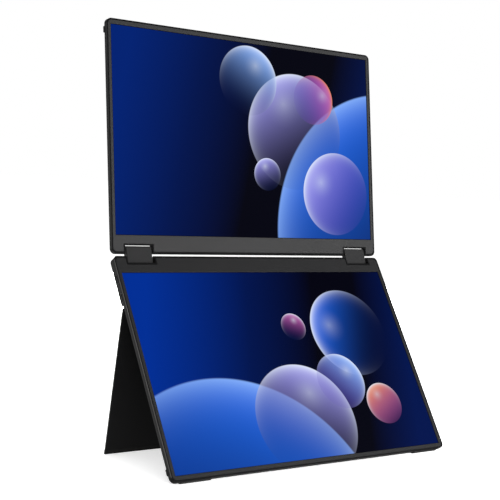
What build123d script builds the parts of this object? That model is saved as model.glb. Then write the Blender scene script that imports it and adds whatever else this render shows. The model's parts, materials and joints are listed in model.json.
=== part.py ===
from build123d import *
from math import cos, radians, sin
import os

os.makedirs("parts", exist_ok=True)

# Dual portable monitor: two thin display panels joined by a pair of geared two-axis hinge blocks.
# The lower panel leans back on a full-width flap stand. All lengths are in millimetres.
# World frame: +Z up, +X to the viewer's right, screens face -Y, the feet stand on Z = 0.

# Screens and the frame around them
screen_width = 301.55
screen_height = 188.47
side_bezel = 4.2
outer_bezel = 5.0
hinge_bezel = 17.0
corner_radius = 5.0

# Shells
upper_thickness = 5.6
lower_thickness = 6.0
bar_height = 46.5
rim_wall = 1.2
nose_wall = 2.2
nose_radius = 2.0
floor_thickness = 1.0
rim_radius = 0.35
back_radius = 1.4
bar_edge_radius = 0.8
seam_depth = 2.4
seam_size = 0.25
fit = 0.3

# Layers behind the front face
bezel_groove = 0.25
bezel_inset = 0.25
bezel_thickness = 0.7
bezel_chamfer = 0.3
display_thickness = 1.6
display_border = 1.5
plate_thickness = 0.5
plate_ledge = 1.5
plate_windows = 5
plate_web = 14.0

# Pose at rest: angles from the vertical, in degrees
upper_lean = 8.1
lower_lean = 33.5
stand_lean = 8.9

# Two-axis hinge
fold_gap = 0.7
edge_overhang = 2.45
block_centre = 127.5
block_width = 26.0
block_half = 2.65
block_corner = 1.3
block_proud = 1.8
block_edge = 0.4
notch_side_gap = 1.2
notch_depth = 7.95
cap_thickness = 2.2
gear_teeth = 10
gear_width = 3.2
gear_end_gap = 0.4
gear_addendum = 0.17
gear_dedendum = 0.27
gear_tip_angle = 3.0
gear_pitch_angle = 6.5
gear_root_angle = 9.5
shaft_radius = 1.25
journal_radius = 0.8
journal_length = 1.4
sleeve_wall = 0.7
sleeve_length = 15.8
sleeve_inset = 0.2
idler_pin_radius = 0.5
idler_pin_seat = 1.3
running_fit = 0.04
press_gap = 0.01

# Hinge brackets inside the panels
bracket_gap = 3.7
bracket_length = 23.6
barrel_length = 5.0
barrel_skin = 0.05
bracket_plate = 0.8
bracket_near = 1.0
bracket_far = 11.3
bracket_screw_inset = 5.6
bracket_screw_radius = 0.95
bracket_screw_depth = 1.6
screw_head_radius = 1.75
screw_head_height = 0.7
boss_wall = 1.2
screw_gap = 0.05

# Flap stand
stand_thickness = 2.1
stand_gap = 0.3
stand_side_inset = 0.6
stand_axis_gap = 1.45
stand_edge_gap = 2.4
stand_corner = 1.5
stand_bevel = 0.4
knuckle_centre = 105.0
lug_width = 8.0
ear_width = 6.0
stand_pin_radius = 0.55
stand_plate_width = 34.0
stand_plate_height = 11.5
stand_plate_thickness = 0.6
stand_screw_spread = 13.0
stand_screw_radius = 0.9
stand_screw_head = 1.6
stand_screw_depth = 1.5
strip_height = 4.0
tongue_depth = 2.6
tongue_thickness = 1.0

# Feet and edge bumpers
foot_length = 30.0
foot_inset = 9.0
foot_height = 0.8
foot_wrap = 0.5
foot_front = 1.2
foot_flat = 0.8
bumper_length = 6.0
bumper_width = 2.4
bumper_inset = 10.0
bumper_seat = 0.6
bumper_height = 0.4

# Electronics
board_thickness = 0.8
board_standoff = 0.3
board_margin = 1.2
board_screw_radius = 0.75
board_screw_head = 1.5
board_screw_head_height = 0.6
board_screw_depth = 0.7
board_screw_inset = 4.0
socket_screw_inset = 12.0
main_board_start = 14.0
chip_height = 1.0
driver_chip_length = 6.8
driver_chip_width = 4.8
driver_board_length = 120.0
side_board_length = 26.0
usb_width = 8.94
usb_height = 3.16
usb_depth = 7.3
usb_wall = 0.3
usb_margin = 0.8
usb_tongue = 0.7
hdmi_margin = 0.45
hdmi_width = 11.2
hdmi_height = 3.2
hdmi_foot = 8.6
hdmi_depth = 7.5
socket_inset = 0.4
socket_gap = 0.15

# Side buttons
button_height = 2.2
button_proud = 0.5
button_travel = 0.35
button_gap = 0.2
button_flange = 0.6
flange_thickness = 0.8
button_margin = 0.25
button_web = 0.3
hdmi_web = 0.2
switch_length = 4.0
switch_width = 3.0

# Tripod bush, quarter-inch camera thread
tripod_radius = 3.175
tripod_wall = 1.8
tripod_boss = 1.8
tripod_cover = 0.2
tripod_place = 28.0

# Sizes that follow
panel_width = screen_width + 2 * side_bezel
panel_height = screen_height + outer_bezel + hinge_bezel
outer_edge = panel_height - edge_overhang
screen_near = hinge_bezel - edge_overhang
bar_thickness = lower_thickness + stand_gap + stand_thickness
bar_end = bar_height - edge_overhang
upper_front = upper_thickness / 2
upper_back = -upper_front
lower_front = bar_thickness / 2
bar_back = -lower_front
lower_back = lower_front - lower_thickness
bezel_depth = bezel_inset + bezel_thickness
display_depth = bezel_depth + display_thickness
plate_depth = display_depth + plate_thickness
module_width = screen_width + 2 * display_border
module_height = screen_height + 2 * display_border
pocket_width = module_width + 2 * fit
pocket_near = screen_near - display_border - fit
pocket_far = screen_near + screen_height + display_border + fit
cavity_width = pocket_width - 2 * plate_ledge
cavity_near = pocket_near + plate_ledge
cavity_far = pocket_far - plate_ledge
bar_cavity_far = bar_end - rim_wall
chin_near = nose_wall - edge_overhang
notch_width = block_width + 2 * notch_side_gap
notch_inner = block_centre - notch_width / 2
chin_half = notch_inner - rim_wall

# Hinge layout along X, for the right-hand block
axis_distance = upper_front + lower_front + fold_gap
block_inner = block_centre - block_width / 2
block_outer = block_centre + block_width / 2
cap_inner = block_outer - cap_thickness
gear_outer = cap_inner - gear_end_gap
gear_inner = gear_outer - gear_width
chamber_inner = gear_inner - gear_end_gap
gear_pitch = axis_distance / 6
gear_tip = gear_pitch + gear_addendum
gear_root = gear_pitch - gear_dedendum
chamber_radius = gear_tip + fit
sleeve_radius = shaft_radius + running_fit + sleeve_wall
shaft_end = notch_inner - bracket_gap - barrel_length
lower_reach = lower_front
upper_reach = upper_front + block_proud
bracket_end = notch_inner - bracket_gap
barrel_radius = upper_front - bezel_depth - barrel_skin
bracket_mid = (bracket_near + bracket_far) / 2
bracket_screws = [
    (bracket_end - bracket_screw_inset, bracket_mid),
    (bracket_end - bracket_length + bracket_screw_inset, bracket_mid),
]

# Pose in the world: the outer feet stand on Z = 0 and the whole is centred front to back
sin_l, cos_l = sin(radians(lower_lean)), cos(radians(lower_lean))
sin_u, cos_u = sin(radians(upper_lean)), cos(radians(upper_lean))
block_lean = (upper_lean + lower_lean) / 2
foot_edge = outer_edge + foot_height
foot_back = lower_back - foot_wrap
lower_axis_z = foot_edge * cos_l - foot_back * sin_l - foot_flat
front_reach = (outer_edge - rim_radius) * sin_l + (lower_front - rim_radius) * cos_l + rim_radius
back_reach = (
    axis_distance * sin(radians(block_lean))
    + (outer_edge - back_radius) * sin_u
    + (upper_front - back_radius) * cos_u
    + back_radius
)
lower_axis_y = (front_reach - back_reach) / 2


def facing(lean):
    """Direction that a face leaning back by this angle looks towards."""
    return Vector(0, -cos(radians(lean)), sin(radians(lean)))


def rising(lean):
    """Direction up along a face leaning back by this angle."""
    return Vector(0, sin(radians(lean)), cos(radians(lean)))


lower_axis = Vector(0, lower_axis_y, lower_axis_z)
upper_axis = lower_axis + rising(block_lean) * axis_distance

# Local frames on the axes: y runs away from the hinge and z out of the screen
lower_frame = Plane(origin=lower_axis, x_dir=(-1, 0, 0), z_dir=facing(lower_lean))
upper_frame = Plane(origin=upper_axis, x_dir=(1, 0, 0), z_dir=facing(upper_lean))
block_frame = Plane(origin=lower_axis, x_dir=(1, 0, 0), z_dir=facing(block_lean))
stand_axis_place = (0, bar_end + stand_axis_gap, bar_back + stand_thickness / 2)
stand_axis = lower_frame.from_local_coords(stand_axis_place)
stand_frame = Plane(origin=stand_axis, x_dir=(-1, 0, 0), z_dir=facing(-stand_lean))
stand_length = stand_axis.Z / cos(radians(stand_lean))
stand_width = panel_width - 2 * stand_side_inset
side_mirror = Plane.YZ


def section(frame, x):
    """Cross-section plane of a frame at local x, with the frame's y and z as its own axes."""
    return Plane(origin=frame.from_local_coords((x, 0, 0)), x_dir=frame.y_dir, z_dir=frame.x_dir)


def save(builder, label):
    """Labels a finished piece and writes it."""
    builder.part.label = label
    export_step(builder.part, f"parts/{label}.step")


def span(width, near, far):
    """Rectangle centred on x that runs from near to far along y, drawn in the current sketch."""
    with Locations((0, (near + far) / 2)):
        Rectangle(width, far - near)


def notches(margin):
    """Cuts the two hinge notches, grown by a margin, from the current sketch."""
    with Locations((block_centre, -edge_overhang), (-block_centre, -edge_overhang)):
        Rectangle(notch_width + 2 * margin, 2 * (notch_depth + margin), mode=Mode.SUBTRACT)


def bezel_outline(gap):
    """Plan of the recess inside the rim, shrunk by a gap, with its hinge notches."""
    near = chin_near + gap
    far = outer_edge - rim_wall - gap
    with Locations((0, (near + far) / 2)):
        RectangleRounded(panel_width - 2 * (rim_wall + gap), far - near, corner_radius - rim_wall)
    notches(rim_wall + gap)


def nose(frame, face, way):
    """Rounds the hinge-side edge of a panel on one face."""
    with BuildSketch(section(frame, 0)) as corner:
        with Locations((-edge_overhang, face)):
            Rectangle(2 * nose_radius, 2 * nose_radius)
        with Locations((nose_radius - edge_overhang, face - way * nose_radius)):
            Circle(nose_radius, mode=Mode.SUBTRACT)
    extrude(corner.sketch, amount=panel_width, both=True, mode=Mode.SUBTRACT)


def seam(frame, front):
    """Cuts the fine parting line round the sides."""
    with BuildSketch(frame.offset(front - seam_depth)) as ring:
        with Locations((0, panel_height / 2 - edge_overhang)):
            RectangleRounded(panel_width, panel_height, corner_radius)
            RectangleRounded(
                panel_width - 2 * seam_size,
                panel_height - 2 * seam_size,
                corner_radius - seam_size,
                mode=Mode.SUBTRACT,
            )
    extrude(ring.sketch, amount=-seam_size, mode=Mode.SUBTRACT)


def hollow(frame, front, floor):
    """Cuts the seats for the bezel, display and support plate, and the cavities under them."""
    with BuildSketch(frame.offset(front)) as bezel_seat:
        bezel_outline(0)
    extrude(bezel_seat.sketch, amount=-bezel_depth, mode=Mode.SUBTRACT)
    with BuildSketch(frame.offset(front)) as display_seat:
        span(pocket_width, pocket_near, pocket_far)
    extrude(display_seat.sketch, amount=-plate_depth, mode=Mode.SUBTRACT)
    with BuildSketch(frame.offset(front)) as chin_cavity:
        span(2 * chin_half, chin_near, pocket_near)
    extrude(chin_cavity.sketch, amount=floor - front, mode=Mode.SUBTRACT)


def hinge_seats(frame, front, back, floor):
    """Cuts the hinge notches and shaft channels and raises the bracket bosses."""
    with BuildSketch(frame.offset(floor)) as bosses:
        for x, y in bracket_screws:
            with Locations((x, y), (-x, y)):
                Circle(bracket_screw_radius + boss_wall)
    extrude(bosses.sketch, amount=-bracket_plate - floor)
    with BuildSketch(frame.offset(-bracket_plate)) as screw_holes:
        for x, y in bracket_screws:
            with Locations((x, y), (-x, y)):
                Circle(bracket_screw_radius + screw_gap)
    extrude(screw_holes.sketch, amount=-bracket_screw_depth - screw_gap, mode=Mode.SUBTRACT)
    for side in (1, -1):
        with BuildSketch(section(frame, side * notch_inner)) as shaft_bore:
            Circle(shaft_radius + fit)
        extrude(shaft_bore.sketch, amount=-side * (bracket_gap + fit), mode=Mode.SUBTRACT)
        with BuildSketch(section(frame, side * (bracket_end + fit))) as barrel_channel:
            Circle(barrel_radius + 2 * barrel_skin)
        extrude(barrel_channel.sketch, amount=-side * (barrel_length + 2 * fit), mode=Mode.SUBTRACT)
    with BuildSketch(frame.offset(front + fit)) as notch_plan:
        with Locations((block_centre, -edge_overhang), (-block_centre, -edge_overhang)):
            Rectangle(notch_width, 2 * notch_depth)
    extrude(notch_plan.sketch, amount=back - front - 2 * fit, mode=Mode.SUBTRACT)


def bumper_seats(frame, front, grow, depth, height, mode):
    """Pads, or their recesses, on both sides near the outer corners."""
    middle = front - seam_depth - bumper_width
    for side in (1, -1):
        with BuildSketch(section(frame, side * (panel_width / 2 - depth))) as pad:
            with Locations((outer_edge - bumper_inset, middle)):
                SlotOverall(bumper_length + 2 * grow, bumper_width + 2 * grow)
        extrude(pad.sketch, amount=side * (depth + height), mode=mode)


def front_bezel(frame, front, label):
    """Frame round the screen, set a little below the rim."""
    with BuildPart() as bezel:
        with BuildSketch(frame.offset(front - bezel_depth)):
            bezel_outline(bezel_groove)
            with Locations((0, screen_near + screen_height / 2)):
                Rectangle(screen_width, screen_height, mode=Mode.SUBTRACT)
        extrude(amount=bezel_thickness)
        front_face = bezel.faces().sort_by(Axis(frame.origin, frame.z_dir))[-1]
        chamfer(front_face.inner_wires()[0].edges(), length=bezel_chamfer)
    save(bezel, label)


def display(frame, front, label):
    """Flat display module, larger than its picture by a border under the bezel."""
    with BuildPart() as module:
        with BuildSketch(frame.offset(front - display_depth)):
            with Locations((0, screen_near + screen_height / 2)):
                Rectangle(module_width, module_height)
        extrude(amount=display_thickness)
    save(module, label)


def support_plate(frame, front, label):
    """Sheet that stiffens the display, with windows over the cavity."""
    pitch = (cavity_width - plate_web) / plate_windows
    with BuildPart() as plate:
        with BuildSketch(frame.offset(front - plate_depth)):
            with Locations((0, screen_near + screen_height / 2)):
                Rectangle(module_width, module_height)
            with Locations((0, (bar_end + plate_web + cavity_far) / 2)):
                with GridLocations(pitch, 1, plate_windows, 1):
                    window_height = cavity_far - bar_end - 3 * plate_web
                    RectangleRounded(pitch - plate_web, window_height, corner_radius, mode=Mode.SUBTRACT)
        extrude(amount=plate_thickness)
    save(plate, label)


def hinge_brackets(frame, label):
    """Pair of plates with a barrel that is pressed on the end of a hinge shaft."""
    with BuildPart() as brackets:
        with BuildSketch(frame):
            with Locations((bracket_end - bracket_length / 2, bracket_mid)):
                Rectangle(bracket_length, bracket_far - bracket_near)
            with Locations(bracket_screws):
                Circle(bracket_screw_radius + screw_gap, mode=Mode.SUBTRACT)
        extrude(amount=-bracket_plate)
        with BuildSketch(section(frame, shaft_end)):
            Circle(barrel_radius)
        extrude(amount=barrel_length)
        with BuildSketch(section(frame, shaft_end)):
            Circle(shaft_radius + press_gap)
        extrude(amount=barrel_length, mode=Mode.SUBTRACT)
        mirror(about=side_mirror)
    save(brackets, label)


def bracket_fasteners(frame, label):
    """Four cap screws that hold a pair of hinge brackets."""
    with BuildPart() as screws:
        with BuildSketch(frame):
            with Locations(bracket_screws):
                Circle(screw_head_radius)
        extrude(amount=screw_head_height)
        with BuildSketch(frame):
            with Locations(bracket_screws):
                Circle(bracket_screw_radius)
        extrude(amount=-bracket_plate - bracket_screw_depth)
        mirror(about=side_mirror)
    save(screws, label)


def edge_bumpers(frame, front, label):
    """Pair of small soft pads on the sides near the outer corners."""
    with BuildPart() as bumpers:
        bumper_seats(frame, front, 0, bumper_seat, bumper_height, Mode.ADD)
    save(bumpers, label)


def gear(place, half_step):
    """Draws one small gear of the hinge train at a distance from the lower axis."""
    turn = half_step * 180 / gear_teeth
    flank = [
        (gear_tip, gear_tip_angle),
        (gear_pitch, gear_pitch_angle),
        (gear_root, gear_root_angle),
    ]
    left = [(r * cos(radians(a)), r * sin(radians(a))) for r, a in flank]
    right = [(x, -y) for x, y in reversed(left)]
    with Locations((place, 0)):
        Circle(gear_root)
        with PolarLocations(0, gear_teeth, start_angle=turn):
            Polygon((0, 0), *right, *left, align=None)


def hinge_shafts(place, half_step, label):
    """Pair of shafts, each with a pinion cut near its outer end and a journal past it."""
    with BuildPart() as shafts:
        with BuildSketch(section(block_frame, shaft_end)):
            with Locations((place, 0)):
                Circle(shaft_radius)
        extrude(amount=gear_inner - shaft_end)
        with BuildSketch(section(block_frame, gear_inner)):
            gear(place, half_step)
        extrude(amount=gear_width)
        with BuildSketch(section(block_frame, gear_outer)):
            with Locations((place, 0)):
                Circle(journal_radius)
        extrude(amount=gear_end_gap + journal_length)
        mirror(about=side_mirror)
    save(shafts, label)


def idlers(place, half_step, label):
    """Pair of idler gears that carry the turn from one shaft to the other."""
    with BuildPart() as gears:
        with BuildSketch(section(block_frame, gear_inner)):
            gear(place, half_step)
            with Locations((place, 0)):
                Circle(idler_pin_radius + running_fit, mode=Mode.SUBTRACT)
        extrude(amount=gear_width)
        mirror(about=side_mirror)
    save(gears, label)


def block_outline():
    """Side view of a hinge block, past both hinge axes, drawn in the current sketch."""
    with Locations(((axis_distance + upper_reach - lower_reach) / 2, 0)):
        RectangleRounded(axis_distance + upper_reach + lower_reach, 2 * block_half, block_corner)


def button(place, label):
    """Side key: a pill through the wall with a flange behind it."""
    with BuildPart() as key:
        with BuildSketch(section(lower_frame, button_seat)):
            with Locations((place, port_middle)):
                SlotOverall(button_length, button_height)
        extrude(amount=-(button_wall + button_gap + button_proud))
        with BuildSketch(section(lower_frame, button_seat)):
            with Locations((place, port_middle)):
                SlotOverall(button_length + 2 * button_flange, button_height + 2 * button_flange)
        extrude(amount=flange_thickness)
        proud_face = key.faces().sort_by(Axis.X)[-1]
        fillet(proud_face.edges(), radius=button_gap)
    save(key, label)


# Places of what the lower shell carries
upper_floor = upper_back + floor_thickness
bar_floor = bar_back + floor_thickness
core_floor = lower_back + floor_thickness
board_back = bar_floor + board_standoff
board_front = board_back + board_thickness
port_middle = board_front + usb_height / 2
hdmi_middle = board_front + hdmi_height / 2
side_face = panel_width / 2
button_wall = rim_wall
button_seat = -(side_face - button_wall - button_gap)
switch_face = button_seat + flange_thickness + button_travel + fit
board_near = cavity_near + board_margin
board_far = bar_cavity_far - board_margin
main_board_end = side_face - socket_inset - usb_depth
main_board_screws = [
    (x, y)
    for x in (main_board_start + board_screw_inset, main_board_end - socket_screw_inset)
    for y in (board_near + board_screw_inset / 2, board_far - board_screw_inset / 2)
]
side_board_near = switch_face + switch_width
side_board_screws = [
    (side_board_near + side_board_length - board_screw_inset, y)
    for y in (board_near + board_screw_inset, board_far - board_screw_inset)
]
lower_board_screws = main_board_screws + side_board_screws
driver_board_near = chin_near + board_margin
driver_board_far = pocket_near - board_margin
driver_board_screws = [
    (side * (driver_board_length / 2 - board_screw_inset), (driver_board_near + driver_board_far) / 2)
    for side in (1, -1)
]
usb_places = [cavity_near + usb_margin + usb_width / 2, bar_cavity_far - usb_margin - usb_width / 2]
hdmi_place = bar_cavity_far - hdmi_margin - hdmi_width / 2
hdmi_near = hdmi_place - hdmi_width / 2 - socket_gap
button_room = (hdmi_near - hdmi_web - cavity_near - button_margin - button_web) / 2
button_length = button_room - 2 * (button_flange + fit)
power_place = cavity_near + button_margin + button_room / 2
menu_place = power_place + button_room + button_web
lug_axis = stand_axis_place[1]
stand_plate_near = bar_end + fit
stand_screws_y = stand_plate_near + stand_plate_height - stand_screw_head - fit
stand_screws = [
    (knuckle_centre - stand_screw_spread, stand_screws_y),
    (knuckle_centre + stand_screw_spread, stand_screws_y),
]

# Upper rear cover: a shallow tray with a thin rim and a rounded hinge-side nose
with BuildPart() as upper_rear_cover:
    with BuildSketch(upper_frame.offset(upper_back)):
        with Locations((0, panel_height / 2 - edge_overhang)):
            RectangleRounded(panel_width, panel_height, corner_radius)
    extrude(amount=upper_thickness)
    rings = upper_rear_cover.edges().group_by(Axis(upper_frame.origin, upper_frame.z_dir))
    fillet(rings[-1], radius=rim_radius)
    rings = upper_rear_cover.edges().group_by(Axis(upper_frame.origin, upper_frame.z_dir))
    fillet(rings[0], radius=back_radius)
    nose(upper_frame, upper_front, 1)
    nose(upper_frame, upper_back, -1)
    seam(upper_frame, upper_front)
    hollow(upper_frame, upper_front, upper_floor)
    with BuildSketch(upper_frame.offset(upper_front)):
        span(cavity_width, cavity_near, cavity_far)
    extrude(amount=upper_floor - upper_front, mode=Mode.SUBTRACT)
    hinge_seats(upper_frame, upper_front, upper_back, upper_floor)
    with BuildSketch(upper_frame.offset(upper_floor)):
        with Locations(driver_board_screws):
            Circle(board_screw_radius + boss_wall)
    extrude(amount=board_standoff)
    with BuildSketch(upper_frame.offset(upper_floor + board_standoff)):
        with Locations(driver_board_screws):
            Circle(board_screw_radius + screw_gap)
    extrude(amount=-board_screw_depth - screw_gap, mode=Mode.SUBTRACT)
    bumper_seats(upper_frame, upper_front, screw_gap, bumper_seat, fit, Mode.SUBTRACT)
save(upper_rear_cover, "upper_rear_cover")

front_bezel(upper_frame, upper_front, "upper_front_bezel")
display(upper_frame, upper_front, "upper_display")
support_plate(upper_frame, upper_front, "upper_support_plate")
hinge_brackets(upper_frame, "upper_hinge_brackets")
bracket_fasteners(upper_frame, "upper_bracket_screws")
edge_bumpers(upper_frame, upper_front, "upper_edge_bumpers")

# Driver board in the upper chin, with its chips
with BuildPart() as upper_driver_board:
    with BuildSketch(upper_frame.offset(upper_floor + board_standoff)):
        span(driver_board_length, driver_board_near, driver_board_far)
        with Locations(driver_board_screws):
            Circle(board_screw_radius + screw_gap, mode=Mode.SUBTRACT)
    extrude(amount=board_thickness)
    with BuildSketch(upper_frame.offset(upper_floor + board_standoff + board_thickness)):
        with Locations((0, (driver_board_near + driver_board_far) / 2)):
            with GridLocations(driver_board_length / 4, 1, 3, 1):
                Rectangle(driver_chip_length, driver_chip_width)
    extrude(amount=chip_height)
save(upper_driver_board, "upper_driver_board")

with BuildPart() as upper_board_screws:
    head_seat = upper_frame.offset(upper_floor + board_standoff + board_thickness)
    with BuildSketch(head_seat):
        with Locations(driver_board_screws):
            Circle(board_screw_head)
    extrude(amount=board_screw_head_height)
    with BuildSketch(head_seat):
        with Locations(driver_board_screws):
            Circle(board_screw_radius)
    extrude(amount=-board_thickness - board_screw_depth)
save(upper_board_screws, "upper_board_screws")

# Lower rear cover: the same tray with a thicker bar along the hinge
with BuildPart() as lower_rear_cover:
    with BuildSketch(lower_frame.offset(lower_back)):
        with Locations((0, panel_height / 2 - edge_overhang)):
            RectangleRounded(panel_width, panel_height, corner_radius)
    extrude(amount=lower_thickness)
    with BuildSketch(lower_frame.offset(bar_back)) as bar_plan:
        span(panel_width, -edge_overhang, bar_end)
        fillet(bar_plan.vertices().sort_by(Axis.Y)[:2], radius=corner_radius)
    extrude(amount=bar_thickness - lower_thickness)
    rings = lower_rear_cover.edges().group_by(Axis(lower_frame.origin, lower_frame.z_dir))
    fillet(rings[-1], radius=rim_radius)
    core_edges = lower_rear_cover.edges().filter_by(
        lambda edge: abs(lower_frame.to_local_coords(edge.center()).Z - lower_back) < press_gap
        and lower_frame.to_local_coords(edge.center()).Y > bar_end + fit
    )
    fillet(core_edges, radius=back_radius)
    rings = lower_rear_cover.edges().group_by(Axis(lower_frame.origin, lower_frame.z_dir))
    fillet(rings[0], radius=bar_edge_radius)
    nose(lower_frame, lower_front, 1)
    nose(lower_frame, bar_back, -1)
    seam(lower_frame, lower_front)
    hollow(lower_frame, lower_front, bar_floor)
    with BuildSketch(lower_frame.offset(lower_front)):
        span(cavity_width, cavity_near, cavity_far)
    extrude(amount=core_floor - lower_front, mode=Mode.SUBTRACT)
    with BuildSketch(lower_frame.offset(lower_front)):
        span(cavity_width, cavity_near, bar_cavity_far)
    extrude(amount=bar_floor - lower_front, mode=Mode.SUBTRACT)
    hinge_seats(lower_frame, lower_front, bar_back, bar_floor)
    # Standoffs for the boards and the boss round the tripod bush
    with BuildSketch(lower_frame.offset(bar_floor)):
        with Locations(lower_board_screws):
            Circle(board_screw_radius + boss_wall)
    extrude(amount=board_standoff)
    with BuildSketch(lower_frame.offset(bar_floor + board_standoff)):
        with Locations(lower_board_screws):
            Circle(board_screw_radius + screw_gap)
    extrude(amount=-board_screw_depth - screw_gap, mode=Mode.SUBTRACT)
    with BuildSketch(lower_frame.offset(bar_floor)):
        with Locations((0, tripod_place)):
            Circle(tripod_radius + tripod_wall + tripod_boss)
    extrude(amount=lower_front - plate_depth - bar_floor)
    with BuildSketch(lower_frame.offset(bar_back)):
        with Locations((0, tripod_place)):
            Circle(tripod_radius + tripod_wall + press_gap)
    extrude(amount=bar_thickness - plate_depth - tripod_cover, mode=Mode.SUBTRACT)
    # Port openings on both sides, button openings on the right side
    with BuildSketch(section(lower_frame, side_face)):
        for place in usb_places:
            with Locations((place, port_middle)):
                SlotOverall(usb_width + 2 * socket_gap, usb_height + 2 * socket_gap)
    extrude(amount=cavity_width / 2 - side_face, mode=Mode.SUBTRACT)
    with BuildSketch(section(lower_frame, -side_face)):
        with Locations((hdmi_place, hdmi_middle)):
            Rectangle(hdmi_width + 2 * socket_gap, hdmi_height + 2 * socket_gap)
    extrude(amount=side_face - cavity_width / 2, mode=Mode.SUBTRACT)
    for place in (power_place, menu_place):
        with BuildSketch(section(lower_frame, -side_face)):
            with Locations((place, port_middle)):
                SlotOverall(button_length + 2 * button_gap, button_height + 2 * button_gap)
        extrude(amount=side_face - cavity_width / 2, mode=Mode.SUBTRACT)
        with BuildSketch(section(lower_frame, button_wall - side_face)):
            with Locations((place, port_middle)):
                SlotOverall(button_room, button_height + 2 * (button_flange + fit))
        extrude(amount=side_face - button_wall - cavity_width / 2, mode=Mode.SUBTRACT)
    # Recesses and bosses for the stand's hinge plates
    with BuildSketch(lower_frame.offset(core_floor)):
        for x, y in stand_screws:
            with Locations((x, y), (-x, y)):
                Circle(stand_screw_radius + boss_wall)
    extrude(amount=lower_front - plate_depth - core_floor)
    with BuildSketch(lower_frame.offset(lower_back)):
        for side in (1, -1):
            with Locations((side * knuckle_centre, stand_plate_near + stand_plate_height / 2)):
                Rectangle(stand_plate_width + 2 * screw_gap, stand_plate_height + 2 * screw_gap)
    extrude(amount=stand_plate_thickness, mode=Mode.SUBTRACT)
    with BuildSketch(lower_frame.offset(lower_back)):
        for x, y in stand_screws:
            with Locations((x, y), (-x, y)):
                Circle(stand_screw_radius + screw_gap)
    extrude(amount=stand_plate_thickness + stand_screw_depth + screw_gap, mode=Mode.SUBTRACT)
    bumper_seats(lower_frame, lower_front, screw_gap, bumper_seat, fit, Mode.SUBTRACT)
save(lower_rear_cover, "lower_rear_cover")

front_bezel(lower_frame, lower_front, "lower_front_bezel")
display(lower_frame, lower_front, "lower_display")
support_plate(lower_frame, lower_front, "lower_support_plate")
hinge_brackets(lower_frame, "lower_hinge_brackets")
bracket_fasteners(lower_frame, "lower_bracket_screws")
edge_bumpers(lower_frame, lower_front, "lower_edge_bumpers")

# Main board in the bar, beside the ports
with BuildPart() as main_board:
    with BuildSketch(lower_frame.offset(board_back)):
        with Locations(((main_board_start + main_board_end) / 2, (board_near + board_far) / 2)):
            Rectangle(main_board_end - main_board_start, board_far - board_near)
        with Locations(main_board_screws):
            Circle(board_screw_radius + screw_gap, mode=Mode.SUBTRACT)
    extrude(amount=board_thickness)
    with BuildSketch(lower_frame.offset(board_front)):
        with Locations(((main_board_start + main_board_end) / 2, (board_near + board_far) / 2)):
            with GridLocations((main_board_end - main_board_start) / 4, 1, 3, 1):
                Rectangle((board_far - board_near) / 2, (board_far - board_near) / 2)
    extrude(amount=chip_height)
save(main_board, "main_board")

# Side board with the two push switches that the side keys press
with BuildPart() as side_board:
    with BuildSketch(lower_frame.offset(board_back)):
        with Locations((side_board_near + side_board_length / 2, (board_near + board_far) / 2)):
            Rectangle(side_board_length, board_far - board_near)
        with Locations(side_board_screws):
            Circle(board_screw_radius + screw_gap, mode=Mode.SUBTRACT)
    extrude(amount=board_thickness)
    with BuildSketch(lower_frame.offset(board_front)):
        for place in (power_place, menu_place):
            with Locations((switch_face + switch_width, place)):
                Rectangle(2 * switch_width, switch_length)
    extrude(amount=button_height)
save(side_board, "side_board")

with BuildPart() as board_screws:
    with BuildSketch(lower_frame.offset(board_front)):
        with Locations(lower_board_screws):
            Circle(board_screw_head)
    extrude(amount=board_screw_head_height)
    with BuildSketch(lower_frame.offset(board_front)):
        with Locations(lower_board_screws):
            Circle(board_screw_radius)
    extrude(amount=-board_thickness - board_screw_depth)
save(board_screws, "board_screws")

# Reversible data sockets: a pill-shaped shell with a tongue inside
with BuildPart() as usb_c_sockets:
    for place in usb_places:
        with BuildSketch(section(lower_frame, side_face - socket_inset)):
            with Locations((place, port_middle)):
                SlotOverall(usb_width, usb_height)
        extrude(amount=-usb_depth)
        with BuildSketch(section(lower_frame, side_face - socket_inset)):
            with Locations((place, port_middle)):
                SlotOverall(usb_width - 2 * usb_wall, usb_height - 2 * usb_wall)
                Rectangle(usb_width - usb_height, usb_tongue, mode=Mode.SUBTRACT)
        extrude(amount=usb_wall - usb_depth, mode=Mode.SUBTRACT)
save(usb_c_sockets, "usb_c_sockets")

# Small video socket: a shell with drawn-in lower corners and a tongue inside
with BuildPart() as mini_hdmi_socket:
    with BuildSketch(section(lower_frame, socket_inset - side_face)) as shell_plan:
        with Locations((hdmi_place, hdmi_middle)):
            Polygon(
                (-hdmi_width / 2, hdmi_height / 2),
                (hdmi_width / 2, hdmi_height / 2),
                (hdmi_width / 2, 0),
                (hdmi_foot / 2, -hdmi_height / 2),
                (-hdmi_foot / 2, -hdmi_height / 2),
                (-hdmi_width / 2, 0),
                align=None,
            )
    extrude(amount=hdmi_depth)
    with BuildSketch(section(lower_frame, socket_inset - side_face)):
        add(shell_plan.sketch_local)
        offset(amount=-usb_wall)
        with Locations((hdmi_place, hdmi_middle)):
            Rectangle(hdmi_foot - 2 * usb_wall, usb_tongue, mode=Mode.SUBTRACT)
    extrude(amount=hdmi_depth - usb_wall, mode=Mode.SUBTRACT)
save(mini_hdmi_socket, "mini_hdmi_socket")

button(power_place, "power_button")
button(menu_place, "menu_button")

with BuildPart() as tripod_bush:
    with BuildSketch(lower_frame.offset(bar_back)):
        with Locations((0, tripod_place)):
            Circle(tripod_radius + tripod_wall)
            Circle(tripod_radius, mode=Mode.SUBTRACT)
    extrude(amount=bar_thickness - plate_depth - 2 * tripod_cover)
save(tripod_bush, "tripod_bush")

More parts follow.
